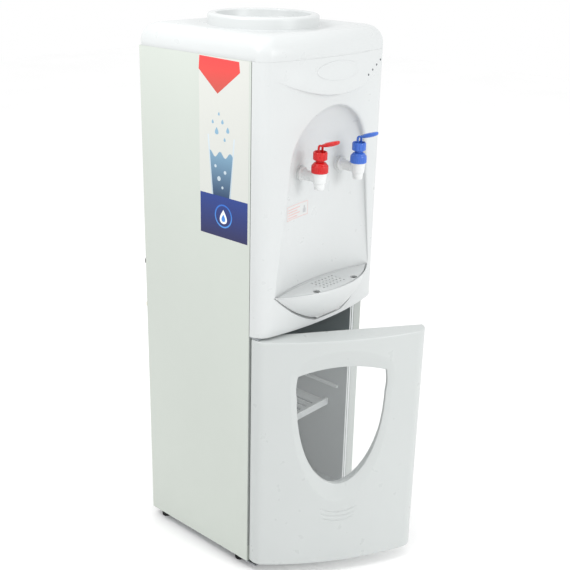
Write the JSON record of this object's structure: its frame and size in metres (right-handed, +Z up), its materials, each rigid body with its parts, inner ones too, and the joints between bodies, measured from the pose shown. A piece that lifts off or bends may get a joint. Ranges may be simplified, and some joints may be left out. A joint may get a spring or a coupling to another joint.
{
  "type": "water dispenser",
  "caption": "Floor-standing hot and room-temperature water dispenser with a bottle seat, two push-lever taps, a drip tray and a storage cupboard with a glazed swing door.",
  "frame": {"origin": "on the floor, at the centre of the box round the whole object with its door ajar as stored", "axes": "+X to the right of someone facing the taps, +Y towards the back, +Z up; the taps and door face -Y"},
  "size_m": [0.3102, 0.465, 0.98],
  "materials": {
    "cabinet_paint": "satin powder coat",
    "galvanised_sheet": "dull",
    "black_rubber": "matte",
    "liner_grey": "matte",
    "inner_white_plastic": "satin",
    "fascia_white_plastic": "semi-gloss moulded",
    "door_plastic": "semi-gloss moulded",
    "tank_plastic": "translucent white",
    "stainless": "brushed",
    "foam": "soft foam",
    "silicone_pipe": "smooth",
    "indicator_lens": "smoked lens",
    "plated_steel": "zinc plated",
    "black_plastic": "fine grain",
    "ivory_plastic": "satin",
    "clear_pane": "clear sheet",
    "red_switch": "gloss",
    "hot_red_plastic": "gloss moulded",
    "cold_blue_plastic": "gloss moulded",
    "tap_white_plastic": "gloss moulded",
    "silicone_white": "soft"
  },
  "bodies": {
    "cabinet": {"side_panel_left": "cabinet_paint", "side_panel_right": "cabinet_paint", "back_panel": "cabinet_paint", "base_plate": "galvanised_sheet", "rubber_feet": "black_rubber", "component_deck": "galvanised_sheet", "cupboard_liner": "liner_grey", "shelf": "inner_white_plastic", "front_fascia": "fascia_white_plastic", "front_apron": "fascia_white_plastic", "recess_wall": "fascia_white_plastic", "tray_pocket": "fascia_white_plastic", "top_cover": "fascia_white_plastic", "bottle_collar": "fascia_white_plastic", "water_reservoir": "tank_plastic", "hot_tank": "stainless", "tank_insulation": "foam", "heater_band": "stainless", "thermostats": "black_plastic", "water_pipes": "silicone_pipe", "badge_plate": "inner_white_plastic", "indicator_lenses": "indicator_lens", "hinge_bracket_top": "plated_steel", "hinge_bracket_bottom": "plated_steel", "hinge_pins": "plated_steel", "magnet_catch": "black_plastic", "panel_screws": "plated_steel", "switch_frame": "black_plastic", "terminal_block": "ivory_plastic", "cord_gland": "black_plastic", "drain_outlets": "ivory_plastic", "hot_tap_body": "tap_white_plastic", "hot_tap_nut": "tap_white_plastic", "hot_tap_gasket": "black_rubber", "hot_bonnet": "hot_red_plastic", "hot_housing": "hot_red_plastic", "hot_valve_spring": "plated_steel", "cold_tap_body": "tap_white_plastic", "cold_tap_nut": "tap_white_plastic", "cold_tap_gasket": "black_rubber", "cold_bonnet": "cold_blue_plastic", "cold_housing": "cold_blue_plastic", "cold_valve_spring": "plated_steel"},
    "bottle_guard": {"bottle_guard": "inner_white_plastic"},
    "door": {"door_shell": "door_plastic", "door_inner_panel": "inner_white_plastic", "window_pane": "clear_pane", "window_gasket": "black_rubber", "strike_plate": "plated_steel"},
    "drip_tray": {"drip_tray": "fascia_white_plastic"},
    "tray_grille": {"tray_grille": "inner_white_plastic"},
    "heater_rocker": {"heater_rocker": "red_switch"},
    "drain_cap_upper": {"drain_cap_upper": "black_plastic"},
    "drain_cap_lower": {"drain_cap_lower": "ivory_plastic"},
    "hot_valve": {"hot_valve_stem": "tap_white_plastic", "hot_valve_plug": "silicone_white", "hot_pivot_pin": "plated_steel"},
    "hot_lever": {"hot_lever": "hot_red_plastic"},
    "cold_valve": {"cold_valve_stem": "tap_white_plastic", "cold_valve_plug": "silicone_white", "cold_pivot_pin": "plated_steel"},
    "cold_lever": {"cold_lever": "cold_blue_plastic"}
  },
  "joints": [
    {"name": "door_hinge", "type": "hinge", "parent": "cabinet", "child": "door", "pos_m": [-0.146, -0.053, 0.24], "axis": [0, 0, 1], "range_deg": [-75, 35]},
    {"name": "tray_slide", "type": "slide", "parent": "cabinet", "child": "drip_tray", "axis": [0, -1, 0], "range_m": [0, 0.07]},
    {"name": "grille_lift", "type": "slide", "parent": "drip_tray", "child": "tray_grille", "axis": [0, 0, 1], "range_m": [0, 0.05]},
    {"name": "guard_lift", "type": "slide", "parent": "cabinet", "child": "bottle_guard", "axis": [0, 0, 1], "range_m": [0, 0.07]},
    {"name": "rocker_switch", "type": "hinge", "parent": "cabinet", "child": "heater_rocker", "pos_m": [0.1, 0.213, 0.7], "axis": [1, 0, 0], "range_deg": [-16, 0]},
    {"name": "drain_cap_upper_turn", "type": "hinge", "parent": "cabinet", "child": "drain_cap_upper", "pos_m": [-0.135, 0.219, 0.534], "axis": [0, 1, 0], "range_deg": [0, 720]},
    {"name": "drain_cap_lower_turn", "type": "hinge", "parent": "cabinet", "child": "drain_cap_lower", "pos_m": [-0.135, 0.219, 0.449], "axis": [0, 1, 0], "range_deg": [0, 720]},
    {"name": "hot_valve_lift", "type": "slide", "parent": "cabinet", "child": "hot_valve", "axis": [0, 0, 1], "range_m": [0, 0.003], "stiffness_N_per_m": 300, "springref_m": -0.006, "deforming": ["hot_valve_spring"]},
    {"name": "hot_lever_press", "type": "hinge", "parent": "hot_valve", "child": "hot_lever", "pos_m": [-0.051, -0.099, 0.772], "axis": [1, 0, 0], "range_deg": [0, 18], "stiffness_Nm_per_rad": 0.3, "springref_deg": -5.73},
    {"name": "cold_valve_lift", "type": "slide", "parent": "cabinet", "child": "cold_valve", "axis": [0, 0, 1], "range_m": [0, 0.003], "stiffness_N_per_m": 300, "springref_m": -0.006, "deforming": ["cold_valve_spring"]},
    {"name": "cold_lever_press", "type": "hinge", "parent": "cold_valve", "child": "cold_lever", "pos_m": [0.051, -0.099, 0.772], "axis": [1, 0, 0], "range_deg": [0, 18], "stiffness_Nm_per_rad": 0.3, "springref_deg": -5.73}
  ]
}
